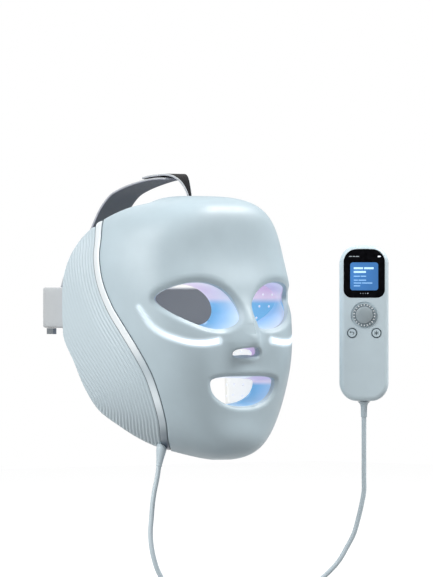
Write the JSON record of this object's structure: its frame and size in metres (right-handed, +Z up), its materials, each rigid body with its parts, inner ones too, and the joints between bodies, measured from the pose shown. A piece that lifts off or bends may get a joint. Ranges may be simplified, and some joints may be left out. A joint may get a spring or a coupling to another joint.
{
  "type": "led face mask",
  "caption": "Rigid full-face light mask with eye, nostril and mouth openings, ribbed sides, head straps, under-eye cooling and a corded hand controller with a dial and buttons.",
  "frame": {"origin": "middle of the mask's rear opening, on the plane of its rearmost rim, at the height of the eyes", "axes": "+X to the wearer's left, -Y the way the face looks, +Z up"},
  "size_m": [0.2293, 0.2543, 0.3622],
  "materials": {
    "shell_plastic": "satin",
    "panel_plastic": "satin, ribbed",
    "trim_silver": "polished",
    "liner_plastic": "smooth, light-passing",
    "board_laminate": "satin",
    "light_chip": "clear",
    "light_guide": "frosted",
    "cold_plate_metal": "polished",
    "cooler_ceramic": "plain",
    "heat_metal": "plain",
    "fan_plastic": "plain",
    "strap_fabric": "woven edge, padded",
    "tab_fabric": "hook and loop",
    "strap_plastic": "plain",
    "controller_plastic": "satin",
    "window_gloss": "black gloss",
    "display_blue": "lit",
    "battery_wrap": "foil",
    "encoder_metal": "plain",
    "dial_plastic": "satin",
    "button_plastic": "satin",
    "steel": "plain",
    "cord_jacket": "smooth",
    "tie_rubber": "matte"
  },
  "bodies": {
    "mask_and_controller": {"front_shell": "shell_plastic", "side_panel_right": "panel_plastic", "side_panel_left": "panel_plastic", "trim_band_right": "trim_silver", "trim_band_left": "trim_silver", "inner_liner": "liner_plastic", "light_board_brow": "board_laminate", "light_board_right": "board_laminate", "light_board_left": "board_laminate", "light_board_chin": "board_laminate", "light_chips": "light_chip", "light_guide_right": "light_guide", "light_guide_left": "light_guide", "cold_plate_right": "cold_plate_metal", "cold_plate_left": "cold_plate_metal", "cooler_chip_right": "cooler_ceramic", "cooler_chip_left": "cooler_ceramic", "heat_strap_right": "heat_metal", "heat_strap_left": "heat_metal", "heat_sink_right": "heat_metal", "heat_sink_left": "heat_metal", "fan_frame_right": "fan_plastic", "fan_frame_left": "fan_plastic", "control_board": "board_laminate", "cord_gland": "cord_jacket", "strap_anchor_right": "strap_plastic", "strap_anchor_left": "strap_plastic", "strap_anchor_top": "strap_plastic", "back_strap": "strap_fabric", "top_strap": "strap_fabric", "top_strap_tab": "tab_fabric", "strap_adjuster": "strap_plastic", "front_housing": "controller_plastic", "back_cover": "controller_plastic", "display_window": "window_gloss", "display_panel": "display_blue", "main_board": "board_laminate", "battery_cell": "battery_wrap", "encoder_body": "encoder_metal", "button_switches": "fan_plastic", "charge_socket": "steel", "housing_screws": "steel", "hand_gland": "cord_jacket", "cord_mask_run": "cord_jacket", "cord_coil": "cord_jacket", "cord_hand_run": "cord_jacket", "cord_tie": "tie_rubber"},
    "fan_right": {"fan_rotor_right": "fan_plastic"},
    "fan_left": {"fan_rotor_left": "fan_plastic"},
    "dial_plunger": {"encoder_carrier": "encoder_metal"},
    "dial": {"dial_knob": "dial_plastic"},
    "back_key": {"back_button": "button_plastic"},
    "cool_key": {"cool_button": "button_plastic"}
  },
  "joints": [
    {"name": "fan_right_spin", "type": "hinge", "parent": "mask_and_controller", "child": "fan_right", "pos_m": [-0.0816, -0.029, -0.008], "axis": [-1, 0, 0], "continuous": true},
    {"name": "fan_left_spin", "type": "hinge", "parent": "mask_and_controller", "child": "fan_left", "pos_m": [0.0816, -0.029, -0.008], "axis": [1, 0, 0], "continuous": true},
    {"name": "dial_press", "type": "slide", "parent": "mask_and_controller", "child": "dial_plunger", "axis": [0.6691, 0.7431, 0], "range_m": [0, 0.0004], "stiffness_N_per_m": 900},
    {"name": "dial_spin", "type": "hinge", "parent": "dial_plunger", "child": "dial", "pos_m": [0.11258, -0.15413, -0.0102], "axis": [0.6691, 0.7431, 0], "continuous": true},
    {"name": "back_press", "type": "slide", "parent": "mask_and_controller", "child": "back_key", "axis": [0.6691, 0.7431, 0], "range_m": [0, 0.0004], "stiffness_N_per_m": 500},
    {"name": "cool_press", "type": "slide", "parent": "mask_and_controller", "child": "cool_key", "axis": [0.6691, 0.7431, 0], "range_m": [0, 0.0004], "stiffness_N_per_m": 500}
  ]
}
